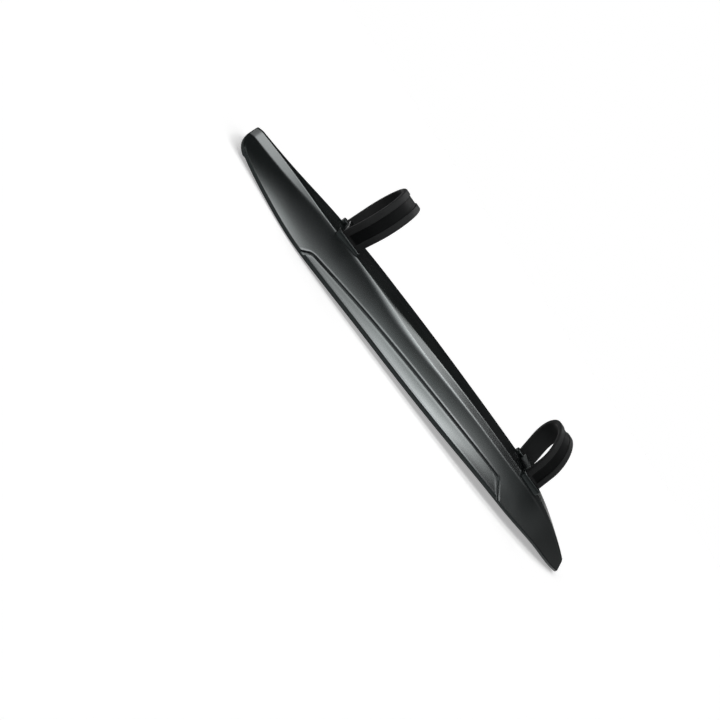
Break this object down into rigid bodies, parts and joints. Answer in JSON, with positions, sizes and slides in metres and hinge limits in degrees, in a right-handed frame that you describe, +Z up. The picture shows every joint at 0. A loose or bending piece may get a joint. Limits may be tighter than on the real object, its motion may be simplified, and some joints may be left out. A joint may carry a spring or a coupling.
{
  "type": "bicycle down tube mudguard",
  "caption": "Long black plastic mudguard blade with drooping wings and a flat spine, held under a bicycle's down tube by rubber straps that loop round the tube.",
  "frame": {"origin": "centre of the footprint, on the level that the wing edges rest on", "axes": "+X along the blade towards its upper end, +Y across it to the bicycle's left, +Z up towards the down tube"},
  "size_m": [0.461, 0.141, 0.0817],
  "materials": {
    "shell": "black moulded polypropylene with a fine satin grain",
    "strap": "black moulded rubber, matte"
  },
  "bodies": {
    "root": {"blade": "shell", "upper_strap": "strap", "lower_strap": "strap"}
  },
  "joints": []
}
